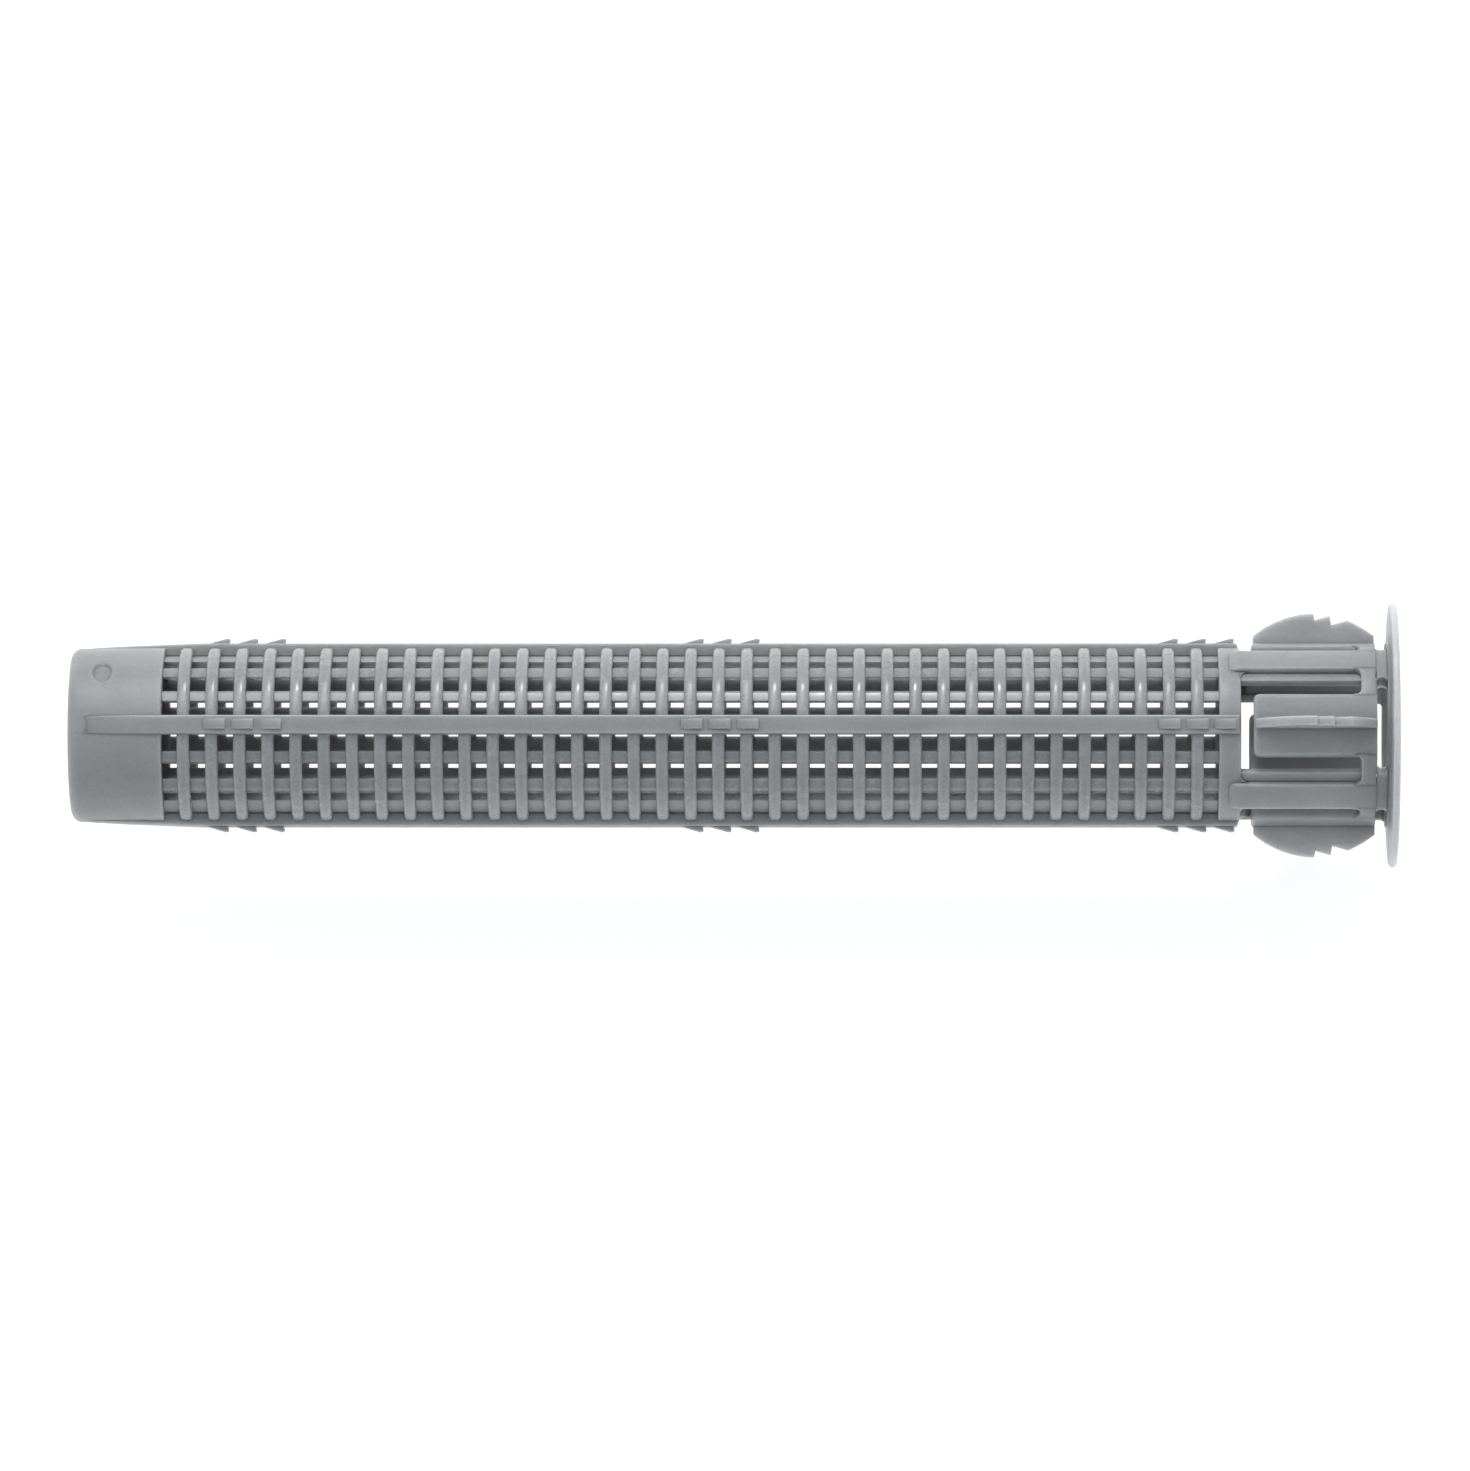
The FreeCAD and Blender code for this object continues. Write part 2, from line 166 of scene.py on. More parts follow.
def bulge(start, end, radius, steps=14):
    """Points on an arc from start to end that bulges away from the sleeve."""
    a, b = Vector(start), Vector(end)
    chord = b - a
    out = Vector((-chord.y, chord.x)).normalized()
    centre = (a + b) / 2 - out * math.sqrt(radius ** 2 - (chord.length / 2) ** 2)
    sweep = 2 * math.asin(chord.length / 2 / radius)
    points = []
    for k in range(steps + 1):
        arm = a - centre
        arm.rotate(Matrix.Rotation(-sweep * k / steps, 2))
        points.append(tuple(centre + arm))
    return points


def loft(rings, closed=False, into=None):
    """A skin through rings of points, open and capped, or closed on itself. Returns a bmesh."""
    bm = into or bmesh.new()
    made = [[bm.verts.new(p) for p in ring] for ring in rings]
    count = len(made[0])
    pairs = list(zip(made, made[1:] + made[:1])) if closed else list(zip(made, made[1:]))
    for low, high in pairs:
        for i in range(count):
            j = (i + 1) % count
            bm.faces.new((low[i], low[j], high[j], high[i]))
    if not closed:
        bm.faces.new(made[0])
        bm.faces.new(made[-1])
    return bm


def lathe(profile, steps=160, angles=None):
    """A solid of revolution about X from a closed outline of (x, radius)."""
    angles = angles or [360 * k / steps for k in range(steps)]
    rings = []
    for degrees in angles:
        t = math.radians(degrees)
        rings.append([(x, -r * math.sin(t), r * math.cos(t)) for x, r in profile])
    return loft(rings, closed=True)


def plate(plan, low, high, soft, sharp=None):
    """A flat plate between two heights over a plan of (x, across). Its rims are rounded, except
    where sharp(x, across) is true at the middle of a rim's edge."""
    bm = bmesh.new()
    floor = bm.faces.new([bm.verts.new((x, s, low)) for x, s in plan])
    grown = bmesh.ops.extrude_face_region(bm, geom=[floor])["geom"]
    for v in grown:
        if isinstance(v, bmesh.types.BMVert):
            v.co.z = high
    bmesh.ops.recalc_face_normals(bm, faces=bm.faces)
    rims = []
    for edge in bm.edges:
        a, b = (v.co for v in edge.verts)
        middle = (a + b) / 2
        if abs(a.z - b.z) < 1e-9 and not (sharp and sharp(middle.x, middle.y)):
            rims.append(edge)
    if soft > 0:
        bmesh.ops.bevel(bm, geom=rims, offset=soft, segments=3, profile=0.5, affect="EDGES",
                        clamp_overlap=False)
    return bm


def cut(bm, point, normal):
    """Adds the edges in which a plane meets a piece."""
    bmesh.ops.bisect_plane(bm, geom=bm.verts[:] + bm.edges[:] + bm.faces[:], dist=1e-7,
                           plane_co=point, plane_no=normal)


def cut_across(bm):
    """Cuts a flat plate into narrow strips along X, so that it can be curved."""
    across = [v.co.y for v in bm.verts]
    for k in range(math.ceil(min(across) / WRAP_STEP), math.floor(max(across) / WRAP_STEP) + 1):
        cut(bm, (0, k * WRAP_STEP, 0), (0, 1, 0))


def wrap(bm):
    """Rolls a flat plate round X. Its height becomes the radius, and across runs along the arc of
    the spines' radius, from +Z towards -Y."""
    cut_across(bm)
    for v in bm.verts:
        t = v.co.y / SPINE_R
        v.co = (v.co.x, -v.co.z * math.sin(t), v.co.z * math.cos(t))
    return bm


def arch(bm):
    """Curves a flat plate round X, but leaves its sides upright."""
    cut_across(bm)
    for v in bm.verts:
        v.co.z = math.sqrt(v.co.z ** 2 - v.co.y ** 2)
    return bm


def along(degrees):
    """How far round the neck an angle is, on the spines' radius."""
    return math.radians(degrees) * SPINE_R


def merged(*parts):
    """Several bmeshes as one."""
    first = parts[0]
    for part in parts[1:]:
        mesh = bpy.data.meshes.new("part")
        part.to_mesh(mesh)
        part.free()
        first.from_mesh(mesh)
        bpy.data.meshes.remove(mesh)
    return first


def piece(name, bm, material, node, body="sleeve", degrees=0, ride=True):
    """A finished piece that stands for a CAD node and rides on a body."""
    turn_mesh(bm, degrees)
    bmesh.ops.dissolve_degenerate(bm, dist=1e-8, edges=bm.edges)
    bmesh.ops.recalc_face_normals(bm, faces=bm.faces)
    mesh = bpy.data.meshes.new(name)
    bm.to_mesh(mesh)
    bm.free()
    mesh.set_sharp_from_angle(angle=math.radians(CREASE))
    mesh.materials.append(material)
    obj = bpy.data.objects.new(name, mesh)
    bpy.context.scene.collection.objects.link(obj)
    normals = obj.modifiers.new("even_normals", "WEIGHTED_NORMAL")
    normals.keep_sharp = True
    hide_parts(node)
    if ride:
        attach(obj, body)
    return obj


# ---- material ----


def noise(tree, coordinates, size, detail=3.0, stretch=(1, 1, 1)):
    """Noise whose features are about size metres, drawn out by stretch."""
    mapping = tree.nodes.new("ShaderNodeMapping")
    mapping.inputs["Scale"].default_value = [1 / (size * s) for s in stretch]
    tree.links.new(coordinates, mapping.inputs["Vector"])
    texture = tree.nodes.new("ShaderNodeTexNoise")
    texture.inputs["Scale"].default_value = 1.0
    texture.inputs["Detail"].default_value = detail
    tree.links.new(mapping.outputs["Vector"], texture.inputs["Vector"])
    return texture.outputs["Fac"]


def spread(tree, value, low, high, start=0.3, end=0.7):
    """Takes a value between start and end, at first the middle of a noise, to low and high."""
    ramp = tree.nodes.new("ShaderNodeMapRange")
    ramp.inputs["From Min"].default_value = start
    ramp.inputs["From Max"].default_value = end
    ramp.inputs["To Min"].default_value = low
    ramp.inputs["To Max"].default_value = high
    tree.links.new(value, ramp.inputs["Value"])
    return ramp.outputs["Result"]


def product(tree, first, second):
    """Two values multiplied."""
    node = tree.nodes.new("ShaderNodeMath")
    node.operation = "MULTIPLY"
    tree.links.new(first, node.inputs[0])
    tree.links.new(second, node.inputs[1])
    return node.outputs["Value"]


def paler_outwards(tree, coordinates, low, high, gain):
    """A factor that grows from 1 at one distance from the sleeve's axis to 1 + gain at another."""
    across = tree.nodes.new("ShaderNodeVectorMath")
    across.operation = "MULTIPLY"
    across.inputs[1].default_value = (0, 1, 1)
    tree.links.new(coordinates, across.inputs[0])
    reach = tree.nodes.new("ShaderNodeVectorMath")
    reach.operation = "LENGTH"
    tree.links.new(across.outputs["Vector"], reach.inputs[0])
    return spread(tree, reach.outputs["Value"], 1, 1 + gain, low, high)


def moulded_plastic(name, roughness, depth, grain=0.3, paler=None):
    """Grey moulded plastic, which light enters to a depth: clouds, flow marks drawn out along the
    mould, fine specks, an uneven satin, and a faint grain of the skin. It may be paler towards a rim,
    which paler then gives as two distances from the axis and a gain; on the collar and the fins that
    paleness is painted light."""
    material = bpy.data.materials.new(name)
    material.use_nodes = True
    tree = material.node_tree
    shader = tree.nodes["Principled BSDF"]
    shader.inputs["IOR"].default_value = 1.5
    shader.inputs["Subsurface Weight"].default_value = 1.0
    shader.inputs["Subsurface Radius"].default_value = (1, 1, 1)
    shader.inputs["Subsurface Scale"].default_value = depth
    coordinates = tree.nodes.new("ShaderNodeTexCoord").outputs["Object"]

    clouds = spread(tree, noise(tree, coordinates, 5 * MM), 0.94, 1.06)
    flow = spread(tree, noise(tree, coordinates, 0.5 * MM, stretch=(9, 1, 1)), 0.97, 1.03)
    specks = spread(tree, noise(tree, coordinates, 0.22 * MM, detail=2.0), 0.96, 1.04)
    shade = product(tree, product(tree, clouds, flow), specks)
    # Paler further from the axis: on the collar's rim and on the fins this is painted light, for light
    # that shines through thin plastic.
    if paler:
        shade = product(tree, shade, paler_outwards(tree, coordinates, *paler))
    tint = tree.nodes.new("ShaderNodeVectorMath")
    tint.operation = "SCALE"
    tint.inputs[0].default_value = GREY
    tree.links.new(shade, tint.inputs["Scale"])
    tree.links.new(tint.outputs["Vector"], shader.inputs["Base Color"])

    satin = spread(tree, noise(tree, coordinates, 1.6 * MM), roughness - 0.06, roughness + 0.06)
    tree.links.new(satin, shader.inputs["Roughness"])

    bump = tree.nodes.new("ShaderNodeBump")
    bump.inputs["Strength"].default_value = grain
    bump.inputs["Distance"].default_value = 0.02 * MM
    tree.links.new(noise(tree, coordinates, 0.35 * MM, stretch=(2, 1, 1)), bump.inputs["Height"])
    tree.links.new(bump.outputs["Normal"], shader.inputs["Normal"])
    return material


PLASTIC = moulded_plastic("sleeve_plastic", 0.42, 1.2 * MM)
MESH_PLASTIC = moulded_plastic("mesh_plastic", 0.26, 1.1 * MM, grain=0.1)
BARB_PLASTIC = moulded_plastic("barb_plastic", 0.45, 0.3 * MM, paler=(SPINE_R, BARB_TOP, 0.12))
# Up to 65% paler towards the collar's rim: painted light, standing in for light that shines through the
# thin flange.
RIM_PAINTED_GLOW_PLASTIC = moulded_plastic("rim_painted_glow_plastic", 0.4, 0.9 * MM, paler=(SPINE_R, COLLAR_R, 0.65))
# A little paler towards the fin's crest: painted light, for light that shines through the thin fin.
FIN_PAINTED_GLOW_PLASTIC = moulded_plastic("fin_painted_glow_plastic", 0.42, 1.9 * MM, paler=(SPINE_R, FIN_TOP, 0.08))

# ---- closed cup ----


def cup():
    """The closed tip, with a slightly domed floor, a little draft and a round mould mark, around
    which the mesh is finer."""
    dome = 0.14 * MM
    corner = 0.65 * MM
    draft = 0.05 * MM
    wall = 1.2 * MM
    mark_x, mark_degrees = TIP + 2.3 * MM, -40.0
    mark_long, mark_round = 0.72 * MM, 1.0 * MM
    mark_depth, mark_edge = 0.2 * MM, 0.25
    mesh_step = 0.05 * MM

    outside = fillet([
        (TIP, 0, 0),
        (TIP + dome, MESH_R - draft, corner),
        (CUP_END, MESH_R, 0.12 * MM),
        (CUP_END, BORE_R, 0.04 * MM),
        (TIP + wall, BORE_R, 0.4 * MM),
        (TIP + wall, 0, 0),
    ], steps=8)
    first_side = next(i for i, (x, r) in enumerate(outside) if x > TIP + corner)
    front, rear = outside[first_side], outside[first_side + 1]
    side = between(front, rear, int((rear[0] - front[0]) / mesh_step))
    near_mark = [(x, r) for x, r in side if abs(x - mark_x) < 1.3 * mark_long]
    profile = outside[:first_side + 1] + near_mark + outside[first_side + 1:]
    fine = [mark_degrees + 0.5 * k for k in range(-18, 19)]
    coarse_steps = 130
    left = 360 - (fine[-1] - fine[0])
    coarse = [fine[-1] + left * k / coarse_steps for k in range(1, coarse_steps)]
    bm = lathe(profile, angles=fine + coarse)
    centre = turn([(mark_x, 0, MESH_R)], mark_degrees)[0]
    for v in bm.verts:
        away = math.hypot((v.co.x - mark_x) / mark_long, (v.co.yz - centre.yz).length / mark_round)
        if away < 1 and v.co.yz.length > BORE_R + 0.5 * MM:
            fall = min(1, (1 - away) / mark_edge)
            depth = mark_depth * fall * fall * (3 - 2 * fall)
            shrink = 1 - depth / v.co.yz.length
            v.co.y *= shrink
            v.co.z *= shrink
    return piece("skin_tip_cup", bm, PLASTIC, "tip_cup")


# ---- mesh ----


def section(width_half, inner, outer, outer_round, inner_round=0.03 * MM, steps=4):
    """A rib's cross-section as (across, radius), with its outer corners rounded."""
    return fillet([
        (-width_half, inner, inner_round),
        (-width_half, outer, outer_round),
        (width_half, outer, outer_round),
        (width_half, inner, inner_round),
    ], steps)


def hoops(quarter, degrees):
    """A quarter of every hoop. Each hoop is crowned, and its ends are let into two spines."""
    reach = math.degrees(math.asin((SPINE_HALF - SINK) / MESH_R))
    steps = 26
    crown = 0.26 * MM
    pitch = (HOOP_LAST - HOOP_FIRST - HOOP_WIDTH) / (HOOP_COUNT - 1)
    outline = section(HOOP_WIDTH / 2, BAR_R, MESH_R, crown)
    bm = bmesh.new()
    for k in range(HOOP_COUNT):
        middle = HOOP_FIRST + HOOP_WIDTH / 2 + k * pitch
        rings = []
        for i in range(steps + 1):
            t = math.radians(-45 + reach + (90 - 2 * reach) * i / steps)
            rings.append([(middle + a, -r * math.sin(t), r * math.cos(t)) for a, r in outline])
        loft(rings, into=bm)
    return piece(f"skin_hoops_{quarter}", bm, MESH_PLASTIC, f"hoops_{quarter}", degrees=degrees)


def bar(level, reach_out, side):
    """A straight bar inside the hoops, with upright sides."""
    node = f"bar_{level}_{reach_out}_{side}"
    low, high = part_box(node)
    middle = (low.y + high.y) / 2
    edge_round = 0.08 * MM
    inner, outer = BORE_R, BAR_R + HAIR
    half = BAR_WIDTH / 2
    steps = 6
    upper = [middle - half + edge_round + (BAR_WIDTH - 2 * edge_round) * k / steps
             for k in range(steps + 1)]
    outline = [(middle - half, outer - 2 * edge_round)]
    outline += [(y, outer) for y in upper]
    outline += [(middle + half, outer - 2 * edge_round), (middle + half, inner)]
    outline += [(y, inner) for y in reversed(upper)]
    outline += [(middle - half, inner)]
    flip = 1 if level == "top" else -1
    rings = [
        [(x, y, flip * math.sqrt(r * r - y * y)) for y, r in outline]
        for x in (CUP_END - SINK, RING_START + SINK)
    ]
    return piece(f"skin_{node}", loft(rings), MESH_PLASTIC, node)


def spine(side):
    """A rib along the whole mesh. It fades out of the cup, and stands on the end ring."""
    shallow, deep = MESH_R - SINK, BAR_R + 2 * HAIR
    fade_start, full = SPINE_START - 0.6 * MM, SPINE_START + 6.8 * MM
    fade_steps, fade_power, fade_sink = 16, 0.8, 0.06 * MM
    lap = 0.05 * MM
    edge_round, end_round = 0.1 * MM, 0.12 * MM
    cup_lap, ring_lap = CUP_END - lap, RING_START + lap
    rising = [fade_start + (full - fade_start) * k / fade_steps for k in range(fade_steps)]
    places = [(x, shallow) for x in rising if x < cup_lap]
    places += [(cup_lap, shallow), (cup_lap, deep), (full, deep), (ring_lap, deep), (ring_lap, shallow)]
    places += [(SPINE_END - end_round, shallow), (SPINE_END, shallow)]
    rings = []
    for x, inner in places:
        climb = min(1, max(0, (x - fade_start) / (full - fade_start)))
        crown = MESH_R - fade_sink + (SPINE_R - MESH_R + fade_sink) * climb ** fade_power
        if x == SPINE_END:
            crown -= end_round
        rings.append([(x, y, r) for y, r in section(SPINE_HALF, inner, crown, edge_round, steps=3)])
    bm = loft(rings)
    if side in ("left", "right"):
        bm = merged(bm, shoulder())
    return piece(f"skin_spine_{side}", bm, PLASTIC, f"spine_{side}", degrees=SIDES[side])


def shoulder():
    """The flat-edged bar under a side spine, which shows as a ledge on both of its edges."""
    edge = math.acos(SHOULDER / BAR_R)
    steps = 16
    outline = []
    for k in range(steps + 1):
        t = -edge + 2 * edge * k / steps
        outline.append(((BAR_R + HAIR) * math.sin(t), (BAR_R + HAIR) * math.cos(t)))
    return loft([[(x, y, z) for y, z in outline] for x in (CUP_END - SINK, RING_START + SINK)])


def barbs(side):
    """Three groups of three teeth that rake towards the collar, with blunt crests."""
    crest_long, undercut = 0.24 * MM, 0.08 * MM
    foot, dip, lap = SPINE_R - 0.03 * MM, 0.03 * MM, 0.02 * MM
    soft = 0.035 * MM
    bm = bmesh.new()
    for group in range(3):
        for k in range(3):
            crest = BARB_FIRST + BARB_RUN + group * BARB_GROUP_PITCH + k * BARB_PITCH
            profile = fillet([
                (crest - BARB_RUN - lap, foot, 0),
                (crest - BARB_RUN - lap, SPINE_R, 0),
                (crest - crest_long, BARB_TOP, 0.12 * MM),
                (crest, BARB_TOP - dip, 0.05 * MM),
                (crest - undercut, SPINE_R + lap, 0),
                (crest - undercut, foot, 0),
            ], steps=3)
            lowered = [(x, z - soft if z > SPINE_R else z) for x, z in profile]
            sections = [(-BARB_HALF, lowered), (-BARB_HALF + soft, profile),
                        (BARB_HALF - soft, profile), (BARB_HALF, lowered)]
            loft([[(x, y, z) for x, z in outline] for y, outline in sections], into=bm)
    return piece(f"skin_barbs_{side}", bm, BARB_PLASTIC, f"barbs_{side}", degrees=SIDES[side])


# ---- neck ----


def end_ring():
    profile = fillet([
        (RING_START, BORE_R, 0.05 * MM),
        (RING_START, MESH_R, 0.12 * MM),
        (RING_END, MESH_R, 0.12 * MM),
        (RING_END, BORE_R, 0.08 * MM),
    ])
    return piece("skin_end_ring", lathe(profile), PLASTIC, "end_ring")


def strut(quarter):
    """A post between the end ring and the root ring, with a foot that fades into the end ring, a
    fillet in each corner beside that ring, and a lower ledge along the edge nearer the Z axis."""
    bm = merged(wrap(post()), wrap(gussets()), wrap(ledge()))
    if quarter in ("top_left", "bottom_right"):
        flip_sides(bm)
    degrees = 0 if quarter.startswith("top") else 180
    return piece(f"skin_strut_{quarter}", bm, PLASTIC, f"strut_{quarter}", degrees=degrees)


def post():
    """A strut's flat plate, with a rounded front end."""
    near, far = (along(d) for d in STRUT_EDGES)
    corner = 0.45 * MM
    plan = fillet([
        (STRUT_START, near, corner),
        (STRUT_START, far, corner),
        (ROOT_START, far, 0),
        (ROOT_START, near, 0),
    ], steps=6)
    bm = plate(plan, NECK_R, SPINE_R, SOFT, sharp=lambda x, s: x > ROOT_START - HAIR)
    fade_in(bm, STRUT_START, RING_END, MESH_R - 2 * HAIR)
    return bm


def gussets():
    """The flat plate that fills the two corners between a strut and the end ring."""
    near, far = (along(d) for d in STRUT_EDGES)
    near_r, far_r = 0.5 * MM, 0.8 * MM
    back = RING_END - STRUT_LAP
    plan = [(back, near - near_r), (RING_END, near - near_r)]
    plan += arc((RING_END + near_r, near - near_r), near_r, 180, 90)[1:]
    plan += arc((RING_END + far_r, far + far_r), far_r, 270, 180)
    plan += [(back, far + far_r)]
    return plate(plan, NECK_R + HAIR, MESH_R - HAIR, 0)


def ledge():
    """The lower flat plate along a strut's edge, let into the strut, the ring and the hinge band."""
    edge, near = along(LEDGE_EDGE), along(STRUT_EDGES[0])
    start, end = RING_END - STRUT_LAP, BAND_START + STRUT_LAP
    plan = [(start, edge), (start, near + STRUT_LAP), (end, near + STRUT_LAP), (end, edge)]

    def hidden(x, s):
        return s > near or not RING_END < x < BAND_START

    return plate(plan, NECK_R + HAIR, LEDGE_R, SOFT, sharp=hidden)


def fade_in(bm, start, end, height):
    """Lowers the front of a plate's top, which then rises in a curve from a height at start to the
    spines' radius at end."""
    steps = 8
    for k in range(1, steps):
        cut(bm, (start + (end - start) * k / steps, 0, 0), (1, 0, 0))
    for v in bm.verts:
        left = (end - v.co.x) / (end - start)
        if left > 0 and v.co.z > height:
            v.co.z = max(height, v.co.z - (SPINE_R - height) * left ** 2)


def root_ring():
    """The ring under the collar: a lip, and four pads between the arc slots, which have round ends."""
    lip = lathe([(LIP_START, NECK_R), (LIP_START, SPINE_R), (WALL_FACE, SPINE_R), (WALL_FACE, NECK_R)])
    slot_r = (LIP_START - ROOT_START) / 2
    middle = (LIP_START + ROOT_START) / 2
    near, far = along(TALL_SLOT) - slot_r, along(90 - SIDE_SLOT) + slot_r
    sweep = 75
    plan = arc((middle, near), slot_r, 90 + sweep, 90 - sweep, steps=12)
    plan += [(LIP_START + HAIR, near), (LIP_START + HAIR, far)]
    plan += arc((middle, far), slot_r, -90 + sweep, -90 - sweep, steps=12)
    plan += [(ROOT_START, far), (ROOT_START, near)]
    pads = []
    for mirrored in (False, True):
        for degrees in (0, 180):
            pad = wrap(plate(plan, NECK_R, SPINE_R, 0))
            if mirrored:
                flip_sides(pad)
            turn_mesh(pad, degrees)
            pads.append(pad)
    return piece("skin_root_ring", merged(lip, *pads), PLASTIC, "root_ring")


def collar():
    """The thin round flange, filleted into the neck. Its plastic is paler towards the rim, which is
    painted light.
    """
    draft, rim_round = 0.06 * MM, 0.17 * MM
    profile = fillet([
        (WALL_FACE - 2 * HAIR, NECK_R, 0),
        (LIP_START + HAIR, SPINE_R - HAIR, 0),
        (LIP_START + HAIR, SPINE_R, 0),
        (WALL_FACE, SPINE_R, 0.16 * MM),
        (WALL_FACE + draft, COLLAR_R, rim_round),
        (COLLAR_FACE, COLLAR_R, rim_round),
        (COLLAR_FACE, NECK_R, 0.12 * MM),
    ], steps=6)
    return piece("skin_collar", lathe(profile, steps=200), RIM_PAINTED_GLOW_PLASTIC, "collar")


# ---- tongues ----


def tongue(side):
    """A curved leaf, free at its front, with upright sides. Its rims are round up to the root."""
    corner, rim_round = 0.4 * MM, 0.16 * MM
    root = BAND_START - 0.3 * MM
    plan = fillet([
        (TONGUE_START, -TONGUE_HALF, corner),
        (TONGUE_START, TONGUE_HALF, corner),
        (root, TONGUE_HALF, 0),
        (ROOT_START, TONGUE_HALF, 0),
        (ROOT_START, -TONGUE_HALF, 0),
        (root, -TONGUE_HALF, 0),
    ], steps=6)
    bm = arch(plate(plan, NECK_R, SPINE_R, rim_round, sharp=lambda x, s: x > root))
    return piece(f"skin_tongue_{side}", bm, PLASTIC, f"tongue_{side}", f"tongue_{side}", SIDES[side])


def fin(side):
    """A half-moon fin on the tongue, with three teeth that point at the collar. Its plastic is a little
    paler towards the crest, which is painted light.
    """
    base = SPINE_R - SINK
    front_drop, rear_drop = 1.48 * MM, 1.46 * MM
    front_r, rear_r = 6.2 * MM, 7.5 * MM
    undercut, first_bite, second_bite = 0.1 * MM, 0.42 * MM, 0.6 * MM
    first = (FIN_START + 3.9 * MM, FIN_TOP)
    second = (FIN_START + 4.97 * MM, FIN_TOP - 0.14 * MM)
    third = (FIN_START + 6.1 * MM, FIN_TOP - 0.45 * MM)
    profile = [(FIN_START, base)] + bulge((FIN_START, FIN_TOP - front_drop), first, front_r)
    profile += [(first[0] + undercut, first[1] - first_bite), second]
    profile += [(second[0] + undercut, second[1] - second_bite)]
    profile += bulge(third, (ROOT_START, FIN_TOP - rear_drop), rear_r) + [(ROOT_START, base)]
    bm = plate(profile, -FIN_HALF, FIN_HALF, 0.07 * MM)
    for v in bm.verts:
        v.co = (v.co.x, v.co.z, v.co.y)
    return piece(f"skin_fin_{side}", bm, FIN_PAINTED_GLOW_PLASTIC, f"fin_{side}", f"tongue_{side}", SIDES[side])


def link(side, hand):
    """Half of a hinge band: from a strut to the tongue's root, with a fillet in each corner of the
    long slot."""
    tall = side in ("top", "bottom")
    strut_edge = along(STRUT_EDGES[0] if tall else 90 - STRUT_EDGES[1])
    slot_edge = along(TALL_SLOT if tall else SIDE_SLOT)
    tongue_edge = SPINE_R * math.asin(TONGUE_HALF / SPINE_R)
    lap = 0.09 * MM
    round_r = min(0.45 * MM, (strut_edge - tongue_edge) / 2 - HAIR)
    start = BAND_START - round_r
    plan = [(ROOT_START, tongue_edge - lap)]
    plan += [(ROOT_START, slot_edge)] if tall else []
    plan += [(ROOT_START, strut_edge + lap), (start, strut_edge + lap)]
    plan += arc((start, strut_edge - round_r), round_r, 90, 0, steps=8)
    plan += arc((start, tongue_edge + round_r), round_r, 0, -90, steps=8)
    plan += [(start, tongue_edge - lap)]

    def hidden(x, s):
        on_root_ring = x > ROOT_START - HAIR and s > slot_edge
        return s > strut_edge - HAIR or s < tongue_edge + HAIR or on_root_ring

    bm = wrap(plate(plan, NECK_R + HAIR, SPINE_R, SOFT, sharp=hidden))
    if hand == "left":
        flip_sides(bm)
    obj = piece(f"skin_hinge_band_{side}_{hand}", bm, PLASTIC, f"hinge_band_{side}",
                degrees=SIDES[side], ride=False)
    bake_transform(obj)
    return obj


# ---- the whole sleeve ----

cup()
for quarter, degrees in QUARTERS.items():
    hoops(quarter, degrees)
    strut(quarter)
for level in ("top", "bottom"):
    for reach_out in ("inner", "outer"):
        for side in ("left", "right"):
            bar(level, reach_out, side)
for side in SIDES:
    spine(side)
    barbs(side)
    tongue(side)
    fin(side)
    link(side, "left")
    link(side, "right")
end_ring()
root_ring()
collar()

# ---- floor, light and camera ----

MIDDLE = Vector((-42 * MM, 0, 0))
KEY_FROM = (-0.15, 0.68, 0.73)         # a broad light, high behind the sleeve
STRIP_FROM = (0, 0.857, 0.515)         # a small one, lower, for the streaks on the hoops


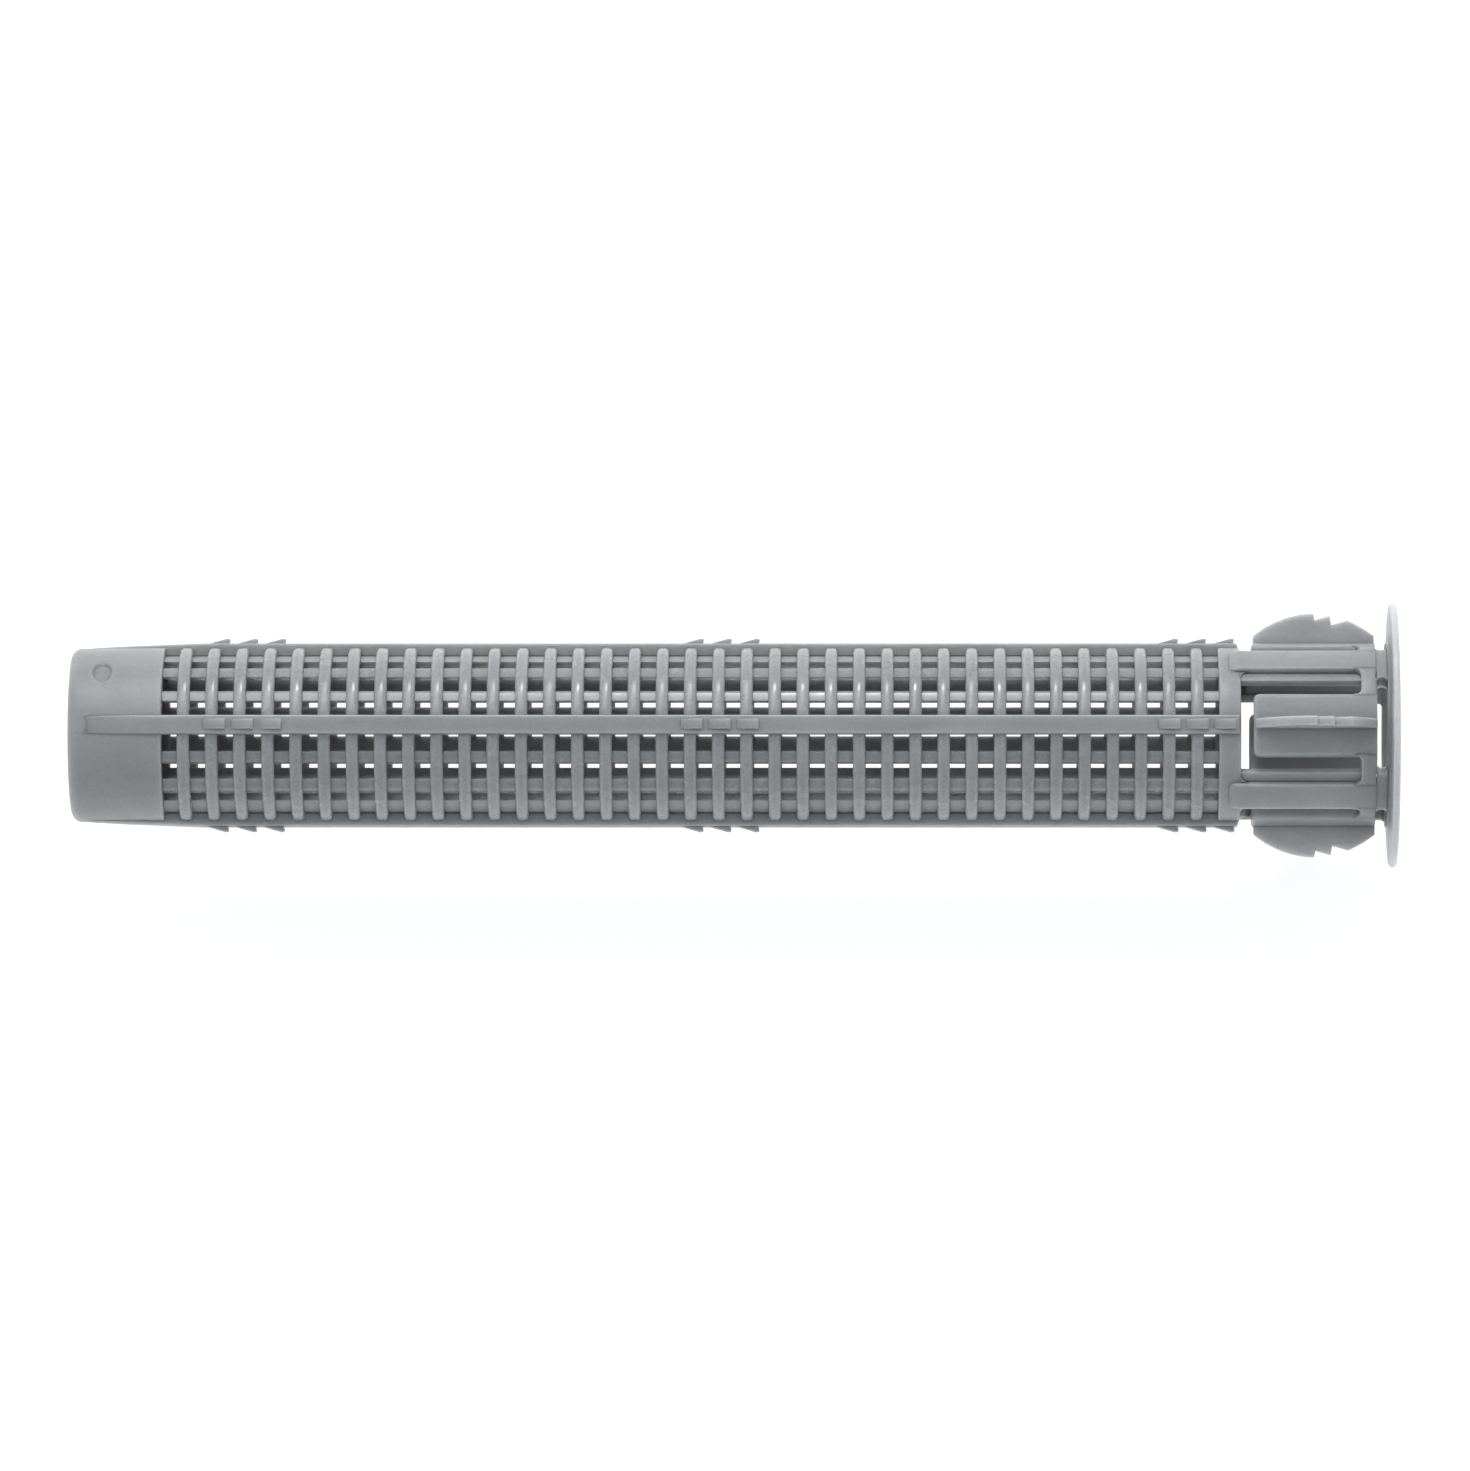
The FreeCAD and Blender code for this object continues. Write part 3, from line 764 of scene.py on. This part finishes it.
def floor():
    """A plain white table that glows a little, so that it stays white under the sleeve."""
    half = 600 * MM
    mesh = bpy.data.meshes.new("floor")
    level = -12 * MM
    corners = [(-half, -half, level), (half, -half, level), (half, half, level), (-half, half, level)]
    mesh.from_pydata(corners, [], [(0, 1, 2, 3)])
    material = bpy.data.materials.new("floor_white")
    material.use_nodes = True
    shader = material.node_tree.nodes["Principled BSDF"]
    shader.inputs["Base Color"].default_value = (0.6, 0.6, 0.6, 1)
    shader.inputs["Roughness"].default_value = 0.9
    shader.inputs["Emission Color"].default_value = (1, 1, 1, 1)
    shader.inputs["Emission Strength"].default_value = 0.65
    mesh.materials.append(material)
    obj = bpy.data.objects.new("floor", mesh)
    bpy.context.scene.collection.objects.link(obj)


def surroundings():
    """Soft white all round."""
    world = bpy.data.worlds.new("studio")
    world.use_nodes = True
    background = world.node_tree.nodes["Background"]
    background.inputs["Color"].default_value = (0.94, 1.0, 1.04, 1)
    background.inputs["Strength"].default_value = 0.69
    bpy.context.scene.world = world


def softbox(name, direction, distance, size, power):
    """A square area light that looks at the sleeve's middle from a direction."""
    light = bpy.data.lights.new(name, "AREA")
    light.shape = "SQUARE"
    light.size = size
    light.energy = power
    obj = bpy.data.objects.new(name, light)
    away = Vector(direction).normalized()
    obj.location = MIDDLE + away * distance
    obj.rotation_euler = away.to_track_quat("Z", "Y").to_euler()
    bpy.context.scene.collection.objects.link(obj)


def camera():
    """A long lens that looks down at the sleeve from in front, a little from the collar's side."""
    aim = MIDDLE - Vector((0.1 * MM, 0, 0))
    elevation = math.radians(82.8)
    distance = 780 * MM
    sideways = 10.6 * MM
    view_width = 94.9 * MM
    data = bpy.data.cameras.new("camera")
    data.sensor_width = 36
    data.lens = data.sensor_width * distance / view_width
    data.clip_start = 10 * MM
    obj = bpy.data.objects.new("camera", data)
    back = Vector((0, -math.cos(elevation), math.sin(elevation)))
    obj.location = aim + back * distance + Vector((sideways, 0, 0))
    behind = (obj.location - aim).normalized()
    right = (Vector((1, 0, 0)) - behind * behind.x).normalized()
    obj.rotation_euler = Matrix((right, behind.cross(right), behind)).transposed().to_euler()
    bpy.context.scene.collection.objects.link(obj)
    bpy.context.scene.camera = obj


floor()
surroundings()
softbox("key", KEY_FROM, distance=600 * MM, size=300 * MM, power=1.05)
softbox("strip", STRIP_FROM, distance=500 * MM, size=35 * MM, power=0.5)
camera()
bpy.context.scene.view_settings.view_transform = "Standard"
